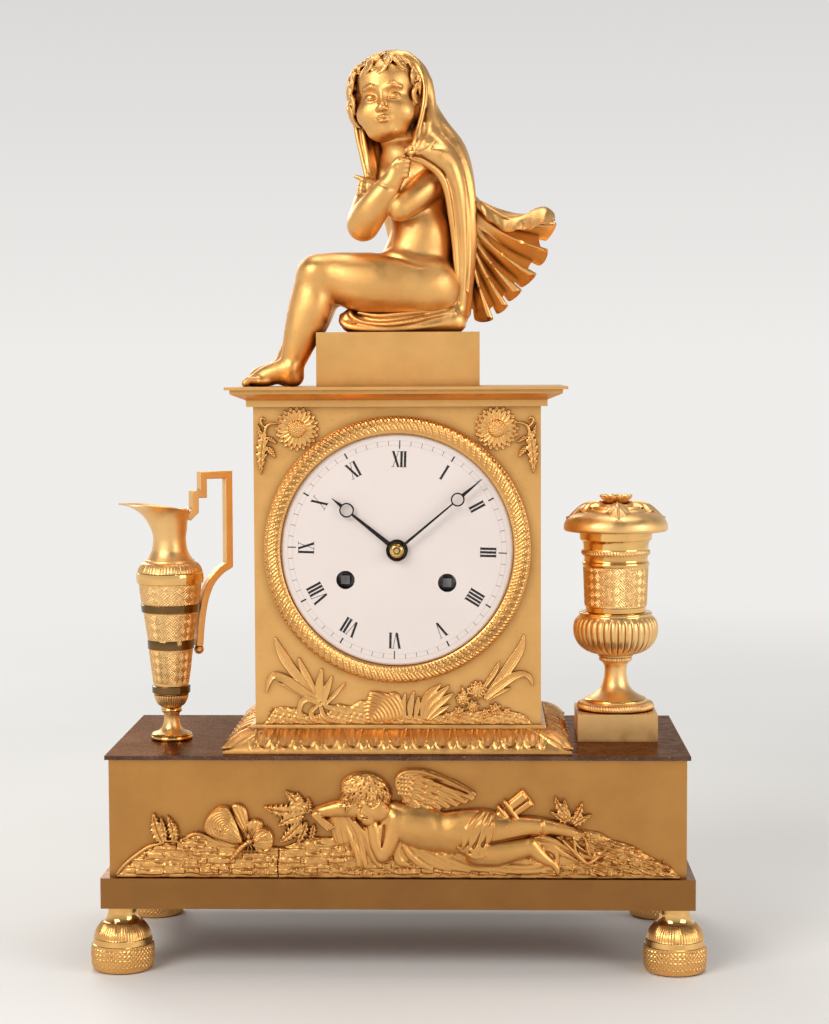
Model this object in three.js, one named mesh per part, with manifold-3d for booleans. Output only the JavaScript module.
// Gilt mantel clock with a seated child, an ewer and an urn on a stepped base.
// Millimetres. X to the right, Y to the back, Z up, origin under the middle of the base.
import * as THREE from 'three';
import { mergeVertices } from 'three/addons/utils/BufferGeometryUtils.js';
import Module from 'manifold-3d';

const wasm = await Module();
wasm.setup();

// ---- Driving sizes -------------------------------------------------------
const gap = 0.3;              // clearance between pieces that are cut or turned to fit
const wall = 2.5;             // thickness of the cast and sheet walls

const footHeight = 27.3;
const footRadius = 13.5;
const footInsetX = 7.7;       // foot axis, in from the tray's end
const footInsetY = 9.0;       // foot axis, in from the tray's front
const trayWidth = 247.8;
const trayDepth = 111.8;
const trayHeight = 12.8;
const baseStep = 3.45;        // set-back of the base panels from the tray's edge
const baseHeight = 49.6;
const slabOverhang = 1.5;
const slabThickness = 1.7;

const caseWidth = 120.8;
const caseDepth = 70.4;
const caseHeight = 134.3;
const plinthSpread = 12.8;    // plinth foot, out from the case wall
const plinthHeight = 10.5;
const filletSpread = 2.0;
const filletHeight = 2.2;
const bandSpread = 2.7;
const bandHeight = 2.7;
const fasciaSpread = 8.9;
const bevelHeight = 2.7;
const fasciaHeight = 1.7;
const capSpread = 11.0;
const capHeight = 1.2;

const dialClear = 4.0;        // bezel below the cornice
const dialRadius = 48.7;
const dialThickness = 1.2;
const dialProud = 2.8;        // enamel face in front of the case
const bezelWidth = 7.2;
const bezelHeight = 5.3;
const movementTurn = 1.7 * Math.PI / 180;   // turned in the case to set it in beat
const minuteHandAngle = 48.4 * Math.PI / 180;
const hourHandAngle = 307.1 * Math.PI / 180;
const minuteHandLength = 46.7;
const hourHandLength = 35.0;
const handThickness = 0.8;

const plateRadius = 46.0;
const plateThickness = 2.0;
const plateGap = 32.0;
const sleeveLength = 11.2;    // case front back to the movement's front plate
const windingX = 21.4;
const windingZ = -13.2;
const windingHole = 3.75;
const windingSquare = 3.6;
const drumRadius = 15.0;
const escapeRise = 22.5;
const palletRise = 32.0;
const pendulumLength = 88.0;
const bobRadius = 11.0;
const bellRadius = 24.0;

const blockWidth = 69.6;
const blockDepth = 42.0;
const blockHeight = 23.1;
const figureHeight = 122.9;   // head above the block

const ewerClear = 26.6;       // ewer's axis, out from the plinth
const ewerY = -10.0;
const ewerHeight = 98.0;
const ewerTurn = 27 * Math.PI / 180;
const urnClear = 3.5;         // urn's pedestal, out from the plinth
const urnY = -0.8;
const urnHeight = 106.4;
const pedestalWidth = 34.4;
const pedestalHeight = 11.8;

// ---- Heights and faces that follow ---------------------------------------
const trayTop = footHeight + trayHeight;
const slabBottom = trayTop + baseHeight;
const slabTop = slabBottom + slabThickness;
const caseBottom = slabTop + plinthHeight;
const caseTop = caseBottom + caseHeight;
const corniceTop = caseTop + bandHeight + bevelHeight + fasciaHeight + capHeight;
const blockTop = corniceTop + blockHeight;
const baseWidth = trayWidth - 2 * baseStep;
const baseDepth = trayDepth - 2 * baseStep;
const caseFront = -caseDepth / 2;
const bezelInner = dialRadius + gap;
const bezelOuter = bezelInner + bezelWidth;
const dialZ = caseTop - dialClear - bezelOuter;
const sleeveRadius = plateRadius + 1;
const plateFront = caseFront + sleeveLength;
const plateInner = plateFront + plateThickness;
const backInner = plateInner + plateGap;
const backOuter = backInner + plateThickness;
const dialFace = caseFront - dialProud;
const ewerX = -caseWidth / 2 - plinthSpread - ewerClear;
const urnX = caseWidth / 2 + plinthSpread + urnClear + pedestalWidth / 2;

// ---- Materials -----------------------------------------------------------
const finish = (color, roughness, metalness) =>
  new THREE.MeshStandardMaterial({ color, roughness, metalness });
const gilt = finish(0xd9a03c, 0.32, 1);
const burnished = finish(0xe6b04a, 0.16, 1);
const patina = finish(0x2a1a12, 0.2, 1);
const brass = finish(0xc9a14a, 0.3, 1);
const steel = finish(0x8d8f94, 0.3, 1);
const blued = finish(0x14120f, 0.35, 1);
const enamel = finish(0xf3e6de, 0.15, 0);
const bellMetal = finish(0xc8b27a, 0.25, 1);

// ---- Solid helpers -------------------------------------------------------
function solid(geometry) {
  const bare = geometry.clone();
  bare.deleteAttribute('normal');
  bare.deleteAttribute('uv');
  const merged = mergeVertices(bare, 1e-4);
  const points = merged.attributes.position.array;
  const index = merged.index.array;
  const triangles = [];
  let volume = 0;
  const corners = [new THREE.Vector3(), new THREE.Vector3(), new THREE.Vector3()];
  for (let i = 0; i < index.length; i += 3) {
    const [a, b, c] = [index[i], index[i + 1], index[i + 2]];
    if (a === b || b === c || c === a) continue;
    triangles.push(a, b, c);
    [a, b, c].forEach((v, k) => corners[k].fromArray(points, 3 * v));
    volume += corners[0].dot(corners[1].clone().cross(corners[2]));
  }
  if (volume < 0) triangles.reverse();
  return new wasm.Manifold(new wasm.Mesh({
    numProp: 3,
    vertProperties: new Float32Array(points),
    triVerts: new Uint32Array(triangles),
  }));
}

function geometryOf(form) {
  const mesh = form.getMesh();
  const geometry = new THREE.BufferGeometry();
  geometry.setAttribute('position', new THREE.BufferAttribute(mesh.vertProperties, 3));
  geometry.setIndex(new THREE.BufferAttribute(mesh.triVerts, 1));
  geometry.computeVertexNormals();
  return geometry;
}

const unite = (forms) => forms.reduce((whole, form) => whole.add(form));

// Box between two corners.
function box(x0, x1, y0, y1, z0, z1) {
  const geometry = new THREE.BoxGeometry(x1 - x0, y1 - y0, z1 - z0);
  return solid(geometry.translate((x0 + x1) / 2, (y0 + y1) / 2, (z0 + z1) / 2));
}

// Turned about Y: profile of [radius, y].
function turnedY(profile, sides = 20) {
  return solid(new THREE.LatheGeometry(profile.map(([r, y]) => new THREE.Vector2(r, y)), sides));
}

// Turned about Z: profile of [radius, z].
function turnedZ(profile, sides = 16) {
  const geometry = new THREE.LatheGeometry(profile.map(([r, z]) => new THREE.Vector2(r, z)), sides);
  return solid(geometry.rotateX(Math.PI / 2));
}

const rod = (radius, y0, y1, sides = 12) =>
  turnedY([[0, y0], [radius, y0], [radius, y1], [0, y1]], sides);

// Flat outline of [x, z], from its front y0 to its back y1.
function plate(outline, y0, y1) {
  const shape = outline instanceof THREE.Shape ? outline
    : new THREE.Shape(outline.map(([x, z]) => new THREE.Vector2(x, z)));
  const geometry = new THREE.ExtrudeGeometry(shape, { depth: y1 - y0, bevelEnabled: false,
    curveSegments: 5 });
  return solid(geometry.rotateX(Math.PI / 2).translate(0, y1, 0));
}

// Smooth closed outline through a few points.
function blob(points, steps) {
  const curve = new THREE.CatmullRomCurve3(points.map(([x, z]) => new THREE.Vector3(x, z, 0)), true);
  return curve.getPoints(steps).slice(0, -1).map((p) => [p.x, p.y]);
}

// Stack of mitred rectangles, each [half width, half depth, z].
function mitred(levels) {
  const points = levels.flatMap(([w, d, z]) => [-w, -d, z, w, -d, z, w, d, z, -w, d, z]);
  const index = [0, 2, 1, 0, 3, 2];
  for (let level = 1; level < levels.length; level += 1) {
    for (let side = 0; side < 4; side += 1) {
      const low = (level - 1) * 4;
      const next = (side + 1) % 4;
      index.push(low + side, low + next, low + 4 + next, low + side, low + 4 + next, low + 4 + side);
    }
  }
  const top = (levels.length - 1) * 4;
  index.push(top, top + 1, top + 2, top, top + 2, top + 3);
  const geometry = new THREE.BufferGeometry();
  geometry.setAttribute('position', new THREE.Float32BufferAttribute(points, 3));
  geometry.setIndex(index);
  return solid(geometry);
}

function egg(centre, radii, sides = 10) {
  const geometry = new THREE.SphereGeometry(1, sides, Math.round(sides * 0.6));
  return solid(geometry.scale(...radii).translate(...centre));
}

// Round limb from a to b with its own radius at each end.
function limb(a, b, radiusA, radiusB, sides = 8) {
  const start = new THREE.Vector3(...a);
  const along = new THREE.Vector3(...b).sub(start);
  const length = along.length();
  const profile = [];
  for (let k = 0; k <= 2; k += 1) {
    const angle = k * Math.PI / 4;
    profile.push([radiusA * Math.sin(angle), -radiusA * Math.cos(angle)]);
  }
  for (let k = 2; k >= 0; k -= 1) {
    const angle = k * Math.PI / 4;
    profile.push([radiusB * Math.sin(angle), length + radiusB * Math.cos(angle)]);
  }
  const geometry = new THREE.LatheGeometry(profile.map(([r, y]) => new THREE.Vector2(r, y)), sides);
  const turn = new THREE.Quaternion().setFromUnitVectors(new THREE.Vector3(0, 1, 0), along.normalize());
  return solid(geometry.applyQuaternion(turn).translate(...a));
}

// ---- Assembly ------------------------------------------------------------
const clock = new THREE.Group();
const movement = new THREE.Group();
movement.position.set(0, 0, dialZ);
movement.rotation.y = movementTurn;
clock.add(movement);

function put(name, form, material, parent = clock, place = [0, 0, 0]) {
  const mesh = new THREE.Mesh(geometryOf(form), material);
  mesh.name = name;
  mesh.position.set(...place);
  parent.add(mesh);
}

// ---- Base ----------------------------------------------------------------
function foot() {
  const r = footRadius;
  const h = footHeight;
  return turnedZ([
    [0, 0], [0.92 * r, 0], [r, 0.24 * h], [0.93 * r, 0.46 * h], [0.82 * r, 0.6 * h], [0.6 * r, 0.82 * h],
    [0.45 * r, 0.93 * h], [0.44 * r, h], [0, h],
  ], 16);
}

const footX = trayWidth / 2 - footInsetX;
const footY = trayDepth / 2 - footInsetY;
for (const [end, x] of [['left', -footX], ['right', footX]]) {
  put(`foot_front_${end}`, foot(), gilt, clock, [x, -footY, 0]);
  put(`foot_back_${end}`, foot(), gilt, clock, [x, footY, 0]);
}

function baseTray() {
  const w = trayWidth / 2;
  const d = trayDepth / 2;
  const padX = footInsetX + 0.62 * footRadius;
  const padY = footInsetY + 0.62 * footRadius;
  const rim = 2 * wall;
  const recessTop = trayTop - wall;
  return mitred([[w, d, footHeight], [w, d, trayTop]])
    .subtract(box(-w + rim, w - rim, -d + padY, d - padY, footHeight - 1, recessTop))
    .subtract(box(-w + padX, w - padX, -d + rim, d - rim, footHeight - 1, recessTop));
}
put('base_tray', baseTray(), gilt);

const baseX = baseWidth / 2;
const baseY = baseDepth / 2;
put('base_front', box(-baseX, baseX, -baseY, -baseY + wall, trayTop, slabBottom), gilt);
put('base_back', box(-baseX, baseX, baseY - wall, baseY, trayTop, slabBottom), gilt);
put('base_left', box(-baseX, -baseX + wall, -baseY + wall, baseY - wall, trayTop, slabBottom), gilt);
put('base_right', box(baseX - wall, baseX, -baseY + wall, baseY - wall, trayTop, slabBottom), gilt);
put('base_slab', mitred([
  [baseX + slabOverhang, baseY + slabOverhang, slabBottom],
  [baseX + slabOverhang, baseY + slabOverhang, slabTop],
]), patina);

// Sleeping winged child on a rocky bank with leaves, a butterfly and a quiver, cast in low relief.
function baseRelief() {
  const back = -baseY;
  const floor = trayTop;
  const w = baseX - 1.5;
  const stretch = w / 118.95;   // the casting is drawn 118.95 to each side
  const at = (x, z) => [x * stretch, floor + z];
  const bank = plate(blob([
    at(-118.95, 0.4), at(-111, 9), at(-91, 16.5), at(-50, 18), at(0, 17), at(70, 17), at(103, 10),
      at(118.95, 0.4),
  ], 30).map(([x, z]) => [x, Math.max(z, floor)]), back - 2.6, back);
  const limbOf = (x0, z0, r0, x1, z1, r1) =>
    limb([x0 * stretch, back - 1.5, floor + z0], [x1 * stretch, back - 1.5, floor + z1], r0, r1, 6);
  const eggOf = (x, z, rx, rz, ry) => egg([x * stretch, back - 0.5, floor + z], [rx * stretch, ry, rz], 8);
  const child = [
    eggOf(-11, 35.5, 9.8, 9.4, 6.2),
    eggOf(6, 26, 16, 10, 6.2),
    eggOf(24, 21, 14, 10, 6.4),
    limbOf(-3, 30, 4, -9, 13, 3.6),
    limbOf(-9, 13, 3.4, -22, 26, 2.6),
    limbOf(-2, 32, 4.2, -33, 29, 2.6),
    limbOf(30, 22, 6.4, 47, 24, 5),
    limbOf(47, 24, 4.6, 66, 22, 3),
    limbOf(28, 16, 6, 46, 12, 5),
    limbOf(46, 12, 4.4, 64, 13.5, 2.8),
  ];
  const wing = plate(blob([at(0, 30), at(4, 42), at(14, 46), at(24, 43), at(33, 36), at(18, 33)], 18),
    back - 3, back);
  const quiver = plate([at(40, 25), at(53, 39), at(58, 35), at(46, 22)], back - 3.4, back);
  const butterfly = plate(blob([
    at(-62, 11), at(-80, 20), at(-79, 30), at(-70, 33), at(-62, 27), at(-56, 28), at(-50, 22), at(-54, 14),
  ], 24), back - 1.8, back);
  const leaf = (x, z, length, angle) => {
    const tip = (along, across) => [
      x * stretch + along * Math.cos(angle) - across * Math.sin(angle),
      floor + z + along * Math.sin(angle) + across * Math.cos(angle),
    ];
    const l = length;
    return plate([tip(0, 0), tip(0.3 * l, -0.3 * l), tip(0.65 * l, -0.28 * l), tip(l, 0),
      tip(0.65 * l, 0.28 * l), tip(0.3 * l, 0.3 * l)], back - 1.8, back);
  };
  const leaves = [
    leaf(-96, 14, 14, 1.7), leaf(-93, 13, 12, 1.1),
    leaf(-34, 22, 24, 2.75), leaf(-40, 14, 20, 1.9), leaf(-38, 30, 14, 2.0),
    leaf(66, 16, 18, 1.5), leaf(68, 15, 18, 0.9),
  ];
  const front = box(-w - 5, w + 5, back - 20, back, floor, slabBottom);
  return unite([bank, wing, quiver, butterfly, ...child, ...leaves]).intersect(front);
}
put('base_relief', baseRelief(), gilt);

// ---- Plinth, case and cornice --------------------------------------------
const caseX = caseWidth / 2;
const caseY = caseDepth / 2;

function plinthMoulding() {
  const level = (spread, z) => [caseX + spread, caseY + spread, slabTop + z];
  const leafTop = plinthHeight - filletHeight;
  const outer = mitred([
    level(plinthSpread, 0), level(plinthSpread, 0.22 * leafTop), level(0.82 * plinthSpread, 0.55 * leafTop),
    level(0.45 * plinthSpread, 0.82 * leafTop), level(filletSpread, leafTop), level(filletSpread,
      plinthHeight),
  ]);
  const holeX = caseX - 2 * wall;
  const holeY = caseY - 2 * wall;
  return outer.subtract(box(-holeX, holeX, -holeY, holeY, slabTop - 1, caseBottom + 1));
}
put('plinth_moulding', plinthMoulding(), gilt);

function facePanel(y0, y1, holeRadius) {
  const hole = rod(holeRadius, y0 - 1, y1 + 1, 36).translate([0, 0, dialZ]);
  return box(-caseX, caseX, y0, y1, caseBottom, caseTop).subtract(hole);
}
put('case_front', facePanel(caseFront, caseFront + wall, sleeveRadius + gap), gilt);
put('case_left', box(-caseX, -caseX + wall, -caseY + wall, caseY - wall, caseBottom, caseTop), gilt);
put('case_right', box(caseX - wall, caseX, -caseY + wall, caseY - wall, caseBottom, caseTop), gilt);

function cornice() {
  const level = (spread, z) => [caseX + spread, caseY + spread, caseTop + z];
  const bevelTop = bandHeight + bevelHeight;
  const fasciaTop = bevelTop + fasciaHeight;
  return mitred([
    level(bandSpread, 0), level(bandSpread, bandHeight), level(fasciaSpread, bevelTop),
    level(fasciaSpread, fasciaTop), level(capSpread, fasciaTop), level(capSpread, fasciaTop + capHeight),
  ]);
}
put('cornice', cornice(), gilt);

// ---- Rear door on its hinge ------------------------------------------------
const doorRadius = plateRadius + 3.5;
const doorFront = caseY + gap;
const doorBack = doorFront + 1.5;
const hingeX = doorRadius + 3;
const hingeY = caseY + 2;
const knuckleRadius = 1.6;
const knuckleHalf = 3.7;
const pinRadius = 0.8;

const upright = (radius, x, y, z0, z1) =>
  turnedZ([[0, z0], [radius, z0], [radius, z1], [0, z1]], 12).translate([x, y, 0]);

function caseBack() {
  const lugs = [-1, 1].flatMap((side) => {
    const near = dialZ + side * (knuckleHalf + gap);
    const far = dialZ + side * (knuckleHalf + gap + 4);
    const [low, high] = [Math.min(near, far), Math.max(near, far)];
    return [
      upright(knuckleRadius, hingeX, hingeY, low, high),
      box(hingeX - knuckleRadius, hingeX + knuckleRadius, caseY - wall, hingeY, low, high),
    ];
  });
  const pin = upright(pinRadius, hingeX, hingeY, dialZ - knuckleHalf - 3, dialZ + knuckleHalf + 3);
  return unite([facePanel(caseY - wall, caseY, plateRadius + gap), ...lugs, pin]);
}
put('case_back', caseBack(), gilt);

function rearDoor() {
  const disc = rod(doorRadius, doorFront, doorBack, 32).translate([0, 0, dialZ]);
  const ear = box(doorRadius - 3, hingeX, doorFront, doorBack, dialZ - knuckleHalf, dialZ + knuckleHalf);
  const knuckle = upright(knuckleRadius, hingeX, hingeY, dialZ - knuckleHalf, dialZ + knuckleHalf);
  const bore = upright(pinRadius + gap, hingeX, hingeY, dialZ - knuckleHalf - 1, dialZ + knuckleHalf + 1);
  const knob = turnedY([
    [0, doorBack - 0.5], [1.2, doorBack - 0.5], [1.2, doorBack + 1.5], [2.6, doorBack + 2.4],
    [2.6, doorBack + 3.8], [0, doorBack + 4.4],
  ], 12).translate([-doorRadius + 5, 0, dialZ]);
  return unite([disc, ear, knuckle, knob]).subtract(bore);
}
put('rear_door', rearDoor(), gilt);

// ---- Mounts on the case front ---------------------------------------------
const flowerRadius = 8.7;
const flowerInset = 18.4;     // flower centre, in from the side of the case
const flowerDrop = 8.9;       // flower centre below the cornice
const bezelRoom = rod(bezelOuter + gap, caseFront - 10, caseFront + 1, 36).translate([0, 0, dialZ]);

function spandrel(side) {
  const petals = 18;
  const outline = [];
  for (let k = 0; k < petals * 2; k += 1) {
    const angle = k * Math.PI / petals;
    const radius = flowerRadius * (k % 2 ? 0.82 : 1);
    outline.push([radius * Math.cos(angle), radius * Math.sin(angle)]);
  }
  const back = caseFront;
  const bloom = plate(outline, back - 1.8, back);
  const disc = turnedY([[0, back - 3.4], [2.6, back - 3.2], [3.8, back - 1.8], [3.8, back], [0, back]], 14);
  const leafA = plate(blob([[6, 0], [12, 3.4], [16.4, 1], [15.6, -8], [16.6, -20.5], [11.6, -12], [8,
    -5]], 18)
    .map(([x, z]) => [side * x, z]), back - 2.2, back);
  const place = [side * (caseX - flowerInset), 0, caseTop - flowerDrop];
  return unite([bloom, disc, leafA]).translate(place).subtract(bezelRoom);
}
put('spandrel_left', spandrel(-1), gilt);
put('spandrel_right', spandrel(1), gilt);

// Iris leaves, rushes and flowers growing from a strip of ground under the dial.
function foliage() {
  const back = caseFront;
  const ground = caseBottom;
  const w = caseX - 2.5;
  const outline = new THREE.Shape(blob([
    [-w, 0.5], [-w + 1, 9], [-w - 0.5, 14], [-w + 4, 22], [-w + 6, 36], [-w + 12, 24], [-w + 22, 12],
      [-w + 34, 7],
    [-20, 9], [-8, 13], [-2, 15], [6, 12], [20, 11], [30, 15], [38, 14], [w - 9, 24], [w - 4.5, 38],
      [w - 2, 22],
    [w + 0.5, 16], [w, 8], [w, 0.5],
  ], 48).map(([x, z]) => new THREE.Vector2(x, ground + Math.max(z, 0))));
  return plate(outline, back - 2.4, back).subtract(bezelRoom);
}
put('foliage_mount', foliage(), gilt);

// ---- Bezel, dial and hands -------------------------------------------------
function bezel() {
  const face = caseFront - bezelHeight;
  const web = caseFront - 1;
  return turnedY([
    [plateRadius - 1.8, plateFront], [sleeveRadius, plateFront], [sleeveRadius, caseFront],
    [bezelOuter, caseFront], [bezelOuter - 0.5, face + 1.6], [bezelOuter - 2.4, face],
    [bezelInner + 2.0, face], [bezelInner, face + 1.6],
    [bezelInner, web], [plateRadius - 1.8, web], [plateRadius - 1.8, plateFront],
  ], 36);
}
put('bezel', bezel(), gilt, clock, [0, 0, dialZ]);

const dialHole = 4.3;
function dial() {
  const back = dialFace + dialThickness;
  const holes = [-1, 1].map((side) =>
    rod(windingHole, dialFace - 1, back + 1, 16).translate([side * windingX, 0, windingZ]));
  const feet = [0.5, 1.17, 1.83].map((turn) =>
    rod(1.3, back - 0.2, plateFront, 8)
      .translate([0.86 * dialRadius * Math.cos(turn * Math.PI), 0,
        0.86 * dialRadius * Math.sin(turn * Math.PI)]));
  const face = turnedY([[0, dialFace], [dialRadius - 1, dialFace], [dialRadius, dialFace + 0.5],
    [dialRadius, back],
    [0, back]], 36);
  return unite([face.subtract(rod(dialHole, dialFace - 1, back + 1, 16)).subtract(unite(holes)), ...feet]);
}
put('dial', dial(), enamel, movement);

// Open-tipped hand pointing to twelve: hub, tapering stem, ring and tip.
function hand({ length, ringCentre, ringRadius, hub, bore, stem, y0 }) {
  const y1 = y0 + handThickness;
  const ringWidth = 0.75;
  const shaft = plate([[-stem, 0], [stem, 0], [0.55 * stem, ringCentre - ringRadius + 0.4],
    [-0.55 * stem, ringCentre - ringRadius + 0.4]], y0, y1);
  const tip = plate([[-1.15, ringCentre + ringRadius - 0.35], [1.15, ringCentre + ringRadius - 0.35],
    [0.12, length], [-0.12, length]], y0, y1);
  const ring = rod(ringRadius, y0, y1, 16).subtract(rod(ringRadius - ringWidth, y0 - 1, y1 + 1, 16));
  const boss = rod(hub, y0, y1, 16);
  return unite([boss, shaft, tip, ring.translate([0, 0, ringCentre])]).subtract(rod(bore, y0 - 1, y1 + 1,
    12));
}

const arborRadius = 1.1;
const cannonRadius = 2.1;
const pipeRadius = 3.5;
const hourHandFront = dialFace - 1.9;
const minuteHandFront = hourHandFront - 0.6 - handThickness;
const spin = (form, angle) => form.rotate([0, angle * 180 / Math.PI, 0]);

put('hour_hand', spin(hand({
  length: hourHandLength, ringCentre: 0.77 * hourHandLength, ringRadius: 3.1, hub: 4.6,
    bore: pipeRadius + gap,
  stem: 0.95, y0: hourHandFront,
}), hourHandAngle), blued, movement);
put('minute_hand', spin(hand({
  length: minuteHandLength, ringCentre: 0.713 * minuteHandLength, ringRadius: 2.9, hub: 3.4,
  bore: cannonRadius + gap, stem: 0.7, y0: minuteHandFront,
}), minuteHandAngle), blued, movement);
put('hand_collet', turnedY([
  [arborRadius + gap, minuteHandFront - gap], [2.9, minuteHandFront - gap], [2.4, minuteHandFront - 1.3],
  [arborRadius + gap, minuteHandFront - 1.6], [arborRadius + gap, minuteHandFront - gap],
], 16), brass, movement);

// ---- Movement --------------------------------------------------------------
// A toothed wheel or pinion of short straight-sided teeth, one of them pointing at angle `phase` from +X
// to +Z.
function teethOn({ teeth, radius, y0, y1, phase = 0 }) {
  const size = 2 * radius / teeth;
  const tip = radius + 0.7 * size;
  const root = radius - 1.05 * size;
  const pitch = 2 * Math.PI / teeth;
  const outline = [];
  for (let k = 0; k < teeth; k += 1) {
    const middle = phase + k * pitch;
    for (const [r, share] of [[root, -0.3], [tip, -0.1], [tip, 0.1], [root, 0.3]]) {
      outline.push([r * Math.cos(middle + share * pitch), r * Math.sin(middle + share * pitch)]);
    }
  }
  return plate(outline, y0, y1);
}

const towards = (from, to) => Math.atan2(to[1] - from[1], to[0] - from[0]);
const apart = (from, to) => Math.hypot(to[0] - from[0], to[1] - from[1]);
// Phase that puts a tooth space, not a tooth, on the line to the mate.
const meshPhase = (from, to, teeth) => towards(from, to) + Math.PI / teeth;

// Point at distance da from a and db from b, on the left of the line from a to b.
function reach(a, b, da, db) {
  const d = apart(a, b);
  const along = (da * da - db * db + d * d) / (2 * d);
  const across = Math.sqrt(da * da - along * along);
  const [ux, uz] = [(b[0] - a[0]) / d, (b[1] - a[1]) / d];
  return [a[0] + along * ux - across * uz, a[1] + along * uz + across * ux];
}

const centreReach = 14.0;
const thirdReach = 12.6;
const escapeReach = 11.2;
const motionReach = 12.0;
const centre = [0, 0];
const goingAt = [windingX, windingZ];
const strikeAt = [-windingX, windingZ];
const escapeAt = [0, escapeRise];
const palletAt = [0, palletRise];
const minuteWheelAt = [0, motionReach];
const greatRadius = 17.0;
const greatTeeth = 24;
const secondPinionTeeth = 8;
const secondTeeth = 28;
const centrePinionTeeth = 7;
const trainTeeth = 24;
const trainPinionTeeth = 8;
const secondReach = greatRadius * (1 + secondPinionTeeth / greatTeeth);
const secondAt = reach(centre, goingAt, centreReach, secondReach);
const thirdAt = reach(centre, escapeAt, thirdReach, escapeReach);
const share = (distance, teeth, mate) => distance * teeth / (teeth + mate);

const pillarAt = [[29.1, 24.4], [-29.1, 24.4], [12, -37], [-12, -37]];
const pivotHole = (at, radius) =>
  rod(radius, plateFront - 1, backOuter + 1, 10).translate([at[0], 0, at[1]]);
const smallPivots = [secondAt, thirdAt, escapeAt].map((at) => pivotHole(at, 1.0 + gap));

const windingRadius = 2.2;
const windingPivots = [goingAt, strikeAt].map((at) => pivotHole(at, windingRadius + gap));
const centrePivot = pivotHole(centre, arborRadius + gap);
const palletPivot = pivotHole(palletAt, 1.0 + gap);
const plateHoles = unite([...smallPivots, ...windingPivots, centrePivot, palletPivot]);

const minutePost = 0.9;
function frontPlate() {
  const post = rod(minutePost, plateFront - 6, plateFront + 0.5, 10).translate([minuteWheelAt[0], 0,
    minuteWheelAt[1]]);
  return rod(plateRadius, plateFront, plateInner, 36).subtract(plateHoles).add(post);
}
put('front_plate', frontPlate(), brass, movement);

const hammerAt = [-33, -12];
const hammerPost = 1.2;
const suspensionDrop = 0.4;
const springTop = palletRise + 2.2;
function backPlate() {
  const disc = rod(plateRadius, backInner, backOuter, 36).subtract(plateHoles);
  const cock = box(-4, 4, backOuter - 0.5, backOuter + 7, springTop + suspensionDrop, springTop + 4);
  const post = rod(hammerPost, backOuter - 0.5, backOuter + 11.5, 10).translate([hammerAt[0], 0,
    hammerAt[1]]);
  return unite([disc, cock, post]);
}
put('back_plate', backPlate(), brass, movement);

pillarAt.forEach(([x, z], k) => {
  const waist = turnedY([
    [0, plateInner], [3.4, plateInner], [2.2, plateInner + 5], [2.8, plateInner + plateGap / 2],
    [2.2, backInner - 5], [3.4, backInner], [0, backInner],
  ], 10);
  put(`pillar_${k + 1}`, waist, brass, movement, [x, 0, z]);
});

const greatY = plateInner + 2.1;
const drumBack = plateInner + 18;
function barrel(phase) {
  const drum = rod(drumRadius, greatY + 1.5, drumBack, 20);
  const wheel = teethOn({ teeth: greatTeeth, radius: greatRadius, y0: greatY, y1: greatY + 2, phase });
  return unite([wheel, drum]).subtract(rod(windingRadius + gap, plateFront, backOuter, 12));
}

const ratchetTeeth = 12;
function windingArbor() {
  const half = windingSquare / 2;
  const shaft = rod(windingRadius, plateFront - 5, backOuter, 12);
  const square = box(-half, half, dialFace + 1, plateFront - 4.5, -half, half);
  const ratchet = teethOn({ teeth: ratchetTeeth, radius: 6, y0: plateFront - gap - 1.5,
    y1: plateFront - gap });
  return unite([shaft, square, ratchet]);
}

put('going_barrel', barrel(towards(goingAt, secondAt)), brass, movement, [goingAt[0], 0, goingAt[1]]);
put('strike_barrel', barrel(0), brass, movement, [strikeAt[0], 0, strikeAt[1]]);
put('going_winding_arbor', windingArbor(), steel, movement, [goingAt[0], 0, goingAt[1]]);
put('strike_winding_arbor', windingArbor(), steel, movement, [strikeAt[0], 0, strikeAt[1]]);

// Arbor between the plates with a wheel and a pinion on it.
function trainArbor({ radius, wheel, pinion, front = plateFront, back = backOuter }) {
  return unite([rod(radius, front, back, 10), teethOn(wheel), teethOn(pinion)]);
}

const secondY = drumBack + 3;
const thirdY = secondY + 3.4;
const escapeY = thirdY + 3.6;
const wheelWidth = 1.4;
const overlapEachSide = 0.3;   // a pinion is this much wider than its wheel, on each side
const pinionBand = (y) => ({ y0: y - overlapEachSide, y1: y + wheelWidth + overlapEachSide });

put('second_wheel', trainArbor({
  radius: 1.0,
  pinion: {
    teeth: secondPinionTeeth, radius: secondReach - greatRadius, y0: greatY - overlapEachSide,
    y1: greatY + 2 + overlapEachSide, phase: meshPhase(secondAt, goingAt, secondPinionTeeth),
  },
  wheel: {
    teeth: secondTeeth, radius: share(centreReach, secondTeeth, centrePinionTeeth), y0: secondY,
    y1: secondY + wheelWidth, phase: towards(secondAt, centre),
  },
}), brass, movement, [secondAt[0], 0, secondAt[1]]);

put('centre_wheel', trainArbor({
  radius: arborRadius,
  front: minuteHandFront - 1.2,
  pinion: {
    teeth: centrePinionTeeth, radius: share(centreReach, centrePinionTeeth, secondTeeth),
      ...pinionBand(secondY),
    phase: meshPhase(centre, secondAt, centrePinionTeeth),
  },
  wheel: {
    teeth: trainTeeth, radius: share(thirdReach, trainTeeth, trainPinionTeeth), y0: thirdY,
      y1: thirdY + wheelWidth,
    phase: towards(centre, thirdAt),
  },
}), brass, movement);

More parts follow.
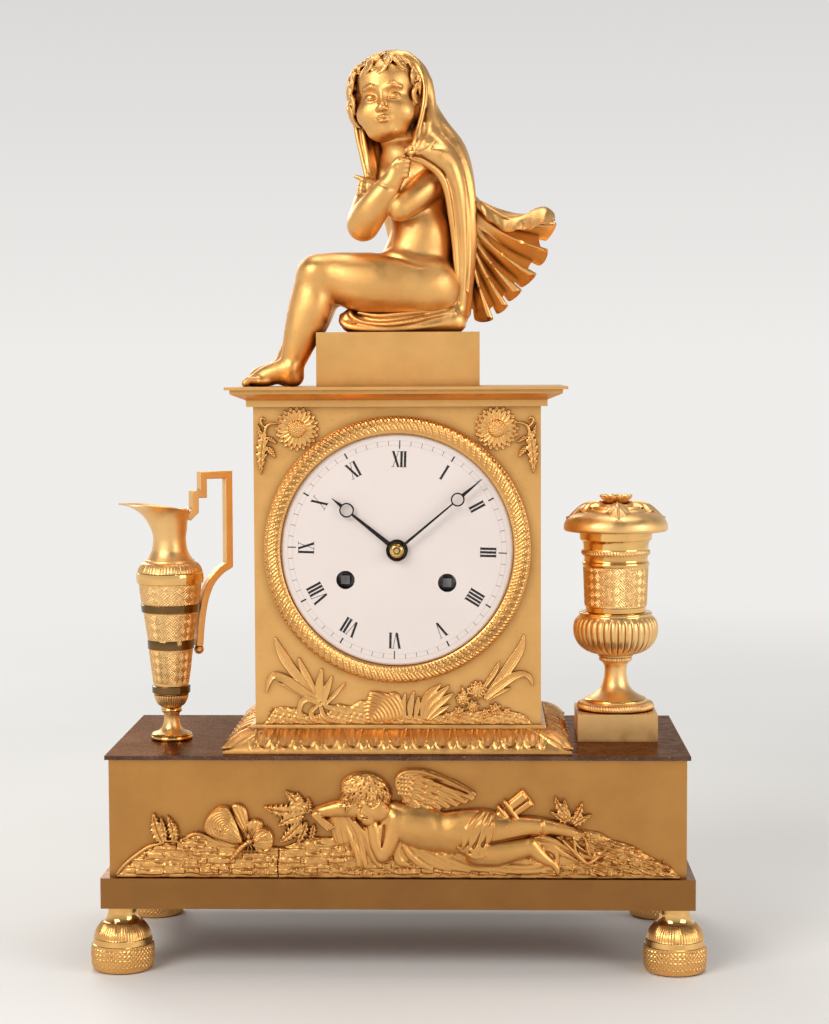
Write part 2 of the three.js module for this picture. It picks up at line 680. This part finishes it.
put('third_wheel', trainArbor({
  radius: 1.0,
  pinion: {
    teeth: trainPinionTeeth, radius: share(thirdReach, trainPinionTeeth, trainTeeth), ...pinionBand(thirdY),
    phase: meshPhase(thirdAt, centre, trainPinionTeeth),
  },
  wheel: {
    teeth: trainTeeth, radius: share(escapeReach, trainTeeth, trainPinionTeeth), y0: escapeY,
      y1: escapeY + wheelWidth,
    phase: towards(thirdAt, escapeAt),
  },
}), brass, movement, [thirdAt[0], 0, thirdAt[1]]);

const escapeRadius = 8.0;
const escapeTeeth = 20;
const escapeFront = plateInner + 7;
put('escape_wheel', trainArbor({
  radius: 1.0,
  pinion: {
    teeth: trainPinionTeeth, radius: share(escapeReach, trainPinionTeeth, trainTeeth),
      ...pinionBand(escapeY),
    phase: meshPhase(escapeAt, thirdAt, trainPinionTeeth),
  },
  wheel: { teeth: escapeTeeth, radius: escapeRadius - 0.4, y0: escapeFront, y1: escapeFront + 1 },
}), brass, movement, [0, 0, escapeRise]);

// ---- Motion work under the dial ---------------------------------------------
const cannonTeeth = 8;
const minuteTeeth = 24;
const minutePinionTeeth = 6;
const hourTeeth = 24;
const cannonY = plateFront - 2.4;
const hourY = cannonY - 2.6;

put('cannon_pinion', unite([
  teethOn({
    teeth: cannonTeeth, radius: share(motionReach, cannonTeeth, minuteTeeth), y0: cannonY - overlapEachSide,
    y1: cannonY + wheelWidth + overlapEachSide, phase: towards(centre, minuteWheelAt),
  }),
  rod(cannonRadius, minuteHandFront, cannonY + wheelWidth, 16),
]).subtract(rod(arborRadius + gap, minuteHandFront - 1, plateFront, 12)), brass, movement);

put('minute_wheel', unite([
  teethOn({
    teeth: minuteTeeth, radius: share(motionReach, minuteTeeth, cannonTeeth), y0: cannonY,
      y1: cannonY + wheelWidth,
    phase: meshPhase(minuteWheelAt, centre, minuteTeeth),
  }),
  teethOn({
    teeth: minutePinionTeeth, radius: share(motionReach, minutePinionTeeth, hourTeeth),
      y0: hourY - overlapEachSide,
    y1: cannonY + 0.2, phase: towards(minuteWheelAt, centre),
  }),
]).subtract(rod(minutePost + gap, hourY - 2, plateFront, 10)), brass, movement, [minuteWheelAt[0], 0,
  minuteWheelAt[1]]);

put('hour_wheel', unite([
  teethOn({
    teeth: hourTeeth, radius: share(motionReach, hourTeeth, minutePinionTeeth), y0: hourY,
      y1: hourY + wheelWidth,
    phase: meshPhase(centre, minuteWheelAt, hourTeeth),
  }),
  rod(pipeRadius, hourHandFront + 0.2, hourY + wheelWidth, 16),
]).subtract(rod(cannonRadius + gap, hourHandFront - 1, plateFront, 16)), brass, movement);

// ---- Escapement and pendulum -------------------------------------------------
const crutchY = backOuter + 1;
const rodHalf = 0.8;
const rodY = crutchY + 3.6;
const crutchLength = 26;

function pallets() {
  const anchorBack = escapeFront + 1.2;
  const drop = palletRise - escapeRise;
  const anchor = plate([
    [-2.4, 1.6], [2.4, 1.6], [8.4, -2.4], [8.6, -5.2], [7.2, -4.2], [6.4, -2.6], [2.2, -0.9], [-2.2, -0.9],
    [-6.4, -2.6], [-7.2, -4.2], [-8.6, -5.2], [-8.4, -2.4],
  ], escapeFront - 0.2, anchorBack);
  const room = rod(escapeRadius + 1.1, escapeFront - 2, anchorBack + 2, 24).translate([0, 0, -drop]);
  const arbor = rod(1.0, plateFront, crutchY + 1.2, 10);
  const crutch = box(-1.2, 1.2, crutchY, crutchY + 1.2, -crutchLength, 1.6);
  const prongs = [-1, 1].map((side) => {
    const [x0, x1] = side > 0 ? [rodHalf + gap, rodHalf + gap + 1.2] : [-rodHalf - gap - 1.2,
      -rodHalf - gap];
    return box(x0, x1, crutchY, rodY + 1.6, -crutchLength - 1, -crutchLength + 1.4);
  });
  const bridge = box(-2.3, 2.3, crutchY, crutchY + 1.2, -crutchLength - 1, -crutchLength + 1.4);
  const hanging = unite([crutch, bridge, ...prongs]).rotate([0, -movementTurn * 180 / Math.PI, 0]);
  return unite([anchor.subtract(room), arbor, hanging]);
}
put('pallets', pallets(), steel, movement, [0, 0, palletRise]);

function pendulum() {
  const strip = box(-rodHalf, rodHalf, rodY, rodY + 1, -pendulumLength, springTop - palletRise);
  const middle = rodY + 0.5;
  const bob = turnedY([
    [0, middle - 2.8], [0.5 * bobRadius, middle - 2.4], [0.9 * bobRadius, middle - 0.9], [bobRadius,
      middle],
    [0.9 * bobRadius, middle + 0.9], [0.5 * bobRadius, middle + 2.4], [0, middle + 2.8],
  ], 24).translate([0, 0, -pendulumLength]);
  return unite([strip, bob]);
}
put('pendulum', pendulum(), brass, clock, [
  palletRise * Math.sin(movementTurn), 0, dialZ + palletRise * Math.cos(movementTurn),
]);

// ---- Bell and hammer -----------------------------------------------------------
const bellOpen = backOuter + 10;
const bellApex = bellOpen + 9;
const bellWall = 1.2;
const studRadius = 1.5;

put('bell', turnedY([
  [studRadius + gap, bellApex], [0.33 * bellRadius, bellApex], [0.67 * bellRadius, bellApex - 1.4],
  [0.9 * bellRadius, bellApex - 4.5], [bellRadius, bellOpen], [bellRadius - bellWall, bellOpen],
  [0.9 * bellRadius - bellWall, bellApex - 5], [0.67 * bellRadius - bellWall / 2, bellApex - 2.6],
  [0.33 * bellRadius, bellApex - bellWall], [studRadius + gap, bellApex - bellWall], [studRadius + gap,
    bellApex],
], 20), bellMetal, movement);

function bellStand() {
  const armFront = bellOpen - 2.6;
  const armBack = bellOpen - 0.8;
  const postAt = [9, -20];
  const post = rod(2, backOuter, armBack, 12).translate([postAt[0], 0, postAt[1]]);
  const arm = plate([[-1.8, 1.2], [1.8, 1.2], [postAt[0] + 1.8, postAt[1]], [postAt[0] - 1.8,
    postAt[1] - 1.5]],
    armFront, armBack);
  const stud = turnedY([
    [0, armFront], [studRadius, armFront], [studRadius, bellApex - 3], [3, bellApex - 3],
    [3, bellApex - bellWall - gap], [studRadius, bellApex - bellWall - gap], [studRadius, bellApex + gap],
    [3, bellApex + gap], [2.4, bellApex + 1.6], [0, bellApex + 1.6],
  ], 12);
  return unite([post, arm, stud]);
}
put('bell_stand', bellStand(), steel, movement);

function hammer() {
  const y0 = backOuter + 8.5;
  const y1 = y0 + 2;
  const head = [-28.6 - hammerAt[0], 4 - hammerAt[1]];
  const hub = rod(3, y0, y1, 14);
  const arm = plate([[-1.3, 0], [1.3, -0.3], [head[0] + 0.8, head[1]], [head[0] - 0.8, head[1]]], y0, y1);
  const block = rod(3, y0 - 1, y1 + 2, 14).translate([head[0], 0, head[1]]);
  return unite([hub, arm, block]).subtract(rod(hammerPost + gap, y0 - 2, y1 + 2, 10));
}
put('hammer', hammer(), steel, movement, [hammerAt[0], 0, hammerAt[1]]);

// ---- Seated child with a hooded mantle -------------------------------------------
put('figure_block', box(-blockWidth / 2, blockWidth / 2, -blockDepth / 2, blockDepth / 2, corniceTop,
  blockTop), gilt);

const figureScale = figureHeight / 122.9;
// Point of the figure: x and y from the block's middle, z above the block's top.
const on = (x, y, z) => [x * figureScale, y * figureScale, blockTop + z * figureScale];
const onFloor = (x, y, z) => [x * figureScale, y * figureScale, corniceTop + z * figureScale];

// The bare form, grown by `more` on every side.
function figureForm(more) {
  const ball = (at, radii, sides) => egg(at, radii.map((r) => r * figureScale + more), sides);
  const bone = (a, b, ra, rb) => limb(a, b, ra * figureScale + more, rb * figureScale + more);
  return unite([
    ball(on(-4.5, -3, 101), [12.8, 13.5, 16]),
    bone(on(-1, -1, 86), on(4, 1, 74), 7, 8.5),
    ball(on(8.5, 0, 62), [15.5, 13, 16]),
    ball(on(10.5, -1, 37), [14, 13.5, 17]),
    ball(on(11.5, 0, 19.5), [17, 16, 12.5]),
    bone(on(8, -9, 18), on(-30, -12, 24), 12.5, 9.4),
    bone(on(-30.5, -12, 22.5), on(-37, -12, 4), 8.8, 7.6),
    bone(on(-37, -12, 4), onFloor(-49, -12, 10), 7.6, 4.6),
    bone(on(8, 9, 17), on(-30, 9, 21), 12, 9.2),
    bone(on(-31, 9, 19), onFloor(-51, 9, 10), 8.2, 4.6),
    bone(onFloor(-47, -12, 5), onFloor(-66, -14, 3.4), 4.6, 3.0),
    bone(onFloor(-49, 9, 5), onFloor(-68, 8, 3.4), 4.6, 3.0),
    bone(on(21, -5, 66), on(4, -17, 52), 8.6, 8.2),
    bone(on(3, -17, 54), on(-13, -15, 63), 7.4, 3.8),
    bone(on(-2, 6, 68), on(-14, -10, 47), 7, 7.2),
    bone(on(-14, -11, 47), on(1, -17, 69), 6.8, 5),
  ]);
}

function figureBody() {
  const standing = box(-200, 200, -200, 200, corniceTop + gap, blockTop + 400);
  const blockRoom = box(-blockWidth / 2 - gap, blockWidth / 2 + gap, -blockDepth, blockDepth, 0,
    blockTop + gap);
  return figureForm(0).intersect(standing).subtract(blockRoom);
}
put('figure_body', figureBody(), gilt);

// Mantle: hood, fall behind the back, seat cloth, and the end that flies out to the right.
function figureMantle() {
  const s = figureScale;
  const place = ([x, z]) => [x * s, blockTop + z * s];
  const hood = [
    egg(on(-0.5, 1.5, 103), [15 * s, 14.5 * s, 19.8 * s], 12),
    limb(on(9, 3, 92), on(22, 6, 66), 12 * s, 12 * s, 10),
    limb(on(22, 6, 66), on(24, 4, 40), 12 * s, 10.5 * s, 10),
    limb(on(24, 4, 40), on(20, 2, 10), 10.5 * s, 10.5 * s, 10),
    limb(on(-14, 2, 96), on(-12, 0, 68), 5.5 * s, 3.5 * s, 8),
  ];
  const cape = plate(blob([
    [28, 58], [34, 56], [41, 51], [52, 50], [60, 54], [66, 53], [67, 48], [61, 43], [62, 34], [55, 23],
    [46, 21], [43, 9], [30, 8], [22, 25],
  ], 28).map(place), 1 * s, 8 * s);
  const seat = plate(blob([[-28, 3], [-24, 8.5], [0, 8.5], [28, 9.5], [31, 4], [28, 0], [0, 0], [-24,
    0]], 26)
    .map(([x, z]) => place([x, Math.max(z, 0)])), -16 * s, 17 * s);
  const above = box(-200, 200, -200, 200, blockTop, blockTop + 400);
  const faceOpening = box(-24 * s, 10 * s, -30 * s, -2.5 * s, blockTop + 70 * s, blockTop + 200 * s);
  return unite([...hood, cape, seat]).intersect(above).subtract(faceOpening).subtract(figureForm(gap));
}
put('figure_mantle', figureMantle(), gilt);

// ---- Ewer on the left ---------------------------------------------------------------
const ewerScale = ewerHeight / 98.0;
const ewerGroup = new THREE.Group();
ewerGroup.position.set(ewerX, ewerY, slabTop);
ewerGroup.rotation.z = ewerTurn;
clock.add(ewerGroup);
const scaled = (points, s) => points.map(([r, z]) => [r * s, z * s]);

put('ewer_foot', turnedZ(scaled([
  [0, 0], [8.8, 0], [9.1, 1.2], [8.2, 2.4], [5.7, 3.6], [3.6, 5.6], [3.2, 9], [3.8, 12], [4.8, 13], [4.6,
    14.4],
  [5.6, 15.4], [7.4, 19.4], [0, 19.4],
], ewerScale)), gilt, ewerGroup);

function ewerBody() {
  const outside = scaled([
    [0, 19.4 + gap / ewerScale], [7.6, 19.7], [8.2, 21], [8.2, 23.6], [7.7, 24.6], [9.6, 40], [9.7, 43],
      [11.6, 55],
    [12.9, 57], [13.6, 66], [14.6, 69], [14.4, 72.6], [11.8, 76.8], [9.8, 79], [7.7, 82.4], [7.0, 87],
      [7.6, 92],
    [9.2, 98],
  ], ewerScale);
  const inside = scaled([[8.0, 98], [6.4, 91.5], [5.8, 87], [6.3, 82.8], [4, 79], [0, 78]], ewerScale);
  const geometry = new THREE.LatheGeometry([...outside, ...inside].map(([r, z]) => new THREE.Vector2(r,
    z)), 16);
  geometry.rotateX(Math.PI / 2);
  // The lip is drawn out into a spout on the side away from the handle.
  const position = geometry.attributes.position;
  const neck = 86 * ewerScale;
  const lip = ewerHeight - neck;
  for (let k = 0; k < position.count; k += 1) {
    const rise = Math.max(0, position.getZ(k) - neck) / lip;
    const out = Math.max(0, -position.getX(k)) / (9 * ewerScale);
    position.setX(k, position.getX(k) - 10 * ewerScale * rise * rise * out * out);
    position.setZ(k, position.getZ(k) + 4.5 * ewerScale * rise * out);
  }
  return solid(geometry);
}
put('ewer_body', ewerBody(), gilt, ewerGroup);

// Square-bar handle: a key-pattern step up from the lip, out, straight down, and back in to the body.
function ewerHandle() {
  const s = ewerScale;
  const halfWidth = 2.4 * s;
  const bar = [
    [9.6, 93.5], [9.6, 108.0], [13.4, 108.0], [13.4, 116.2], [28.4, 116.2], [28.4, 74.0], [22.0, 70.0],
    [16.8, 61.0], [14.4, 50.0], [13.2, 38.6],
  ];
  const thickness = 3.2;
  const inner = [
    [10.6, 39.4], [11.2, 51.0], [13.8, 62.6], [19.4, 73.0], [25.2, 76.2], [25.2, 113.0], [16.6, 113.0],
    [16.6, 104.8], [12.8, 104.8], [12.8, 93.5],
  ];
  const side = plate([...bar, ...inner].map(([x, z]) => [x * s, z * s]), -halfWidth, halfWidth);
  const ball = egg([12.2 * s, 0, 38.4 * s], [2.2 * s, 2.2 * s, 2.2 * s], 10);
  const lug = box(7.6 * s, 12.8 * s, -halfWidth, halfWidth, 93.5 * s, (93.5 + thickness) * s);
  const ewerRoom = turnedZ(scaled([
    [0, 18], [8.5, 20], [8.5, 24], [10.0, 40], [10.1, 43], [12.0, 55], [13.3, 57], [14.0, 66], [15.0, 69],
    [14.8, 72.8], [12.2, 77], [8.1, 82.4], [7.4, 87], [8.0, 92], [9.8, 98.5], [0, 98.5],
  ], s));
  return unite([side, ball, lug]).subtract(ewerRoom);
}
put('ewer_handle', ewerHandle(), gilt, ewerGroup);

// ---- Urn on the right ---------------------------------------------------------------
const urnScale = (urnHeight - pedestalHeight) / 94.6;
const urnGroup = new THREE.Group();
urnGroup.position.set(urnX, urnY, slabTop);
clock.add(urnGroup);
put('urn_pedestal', mitred([
  [pedestalWidth / 2, pedestalWidth / 2, 0], [pedestalWidth / 2, pedestalWidth / 2, pedestalHeight],
]), gilt, urnGroup);
const urnPart = (name, profile, sides) =>
  put(name, turnedZ(scaled(profile, urnScale), sides), gilt, urnGroup, [0, 0, pedestalHeight]);
urnPart('urn_foot', [
  [0, 0], [15.2, 0], [16.8, 1.2], [16.4, 3], [13.9, 3.7], [13.4, 5], [9.6, 6.8], [6.6, 9.2], [5.0, 13],
    [4.75, 17],
  [5.6, 20], [7.4, 23], [7.0, 24], [0, 24],
], 16);
urnPart('urn_bowl', [
  [0, 24], [7.8, 24], [14, 26.6], [17.2, 30.2], [18.5, 35], [17.8, 38.6], [16.2, 41], [15.9, 43], [0, 43],
], 20);
urnPart('urn_barrel', [
  [0, 43], [13.1, 43], [13.3, 46], [14.3, 63], [14.2, 66], [14.8, 67.5], [14.7, 69.5], [14.2, 71], [14.9,
    72],
  [15.7, 75], [16.3, 78], [0, 78],
], 18);
urnPart('urn_lid', [
  [0, 78], [21.4, 78], [23.1, 79.6], [22.2, 82.6], [16.6, 88.6], [9.6, 90.6], [5.2, 89.8], [4.8, 90.6],
  [7.3, 94.6], [0, 93.2],
], 20);

export default clock;
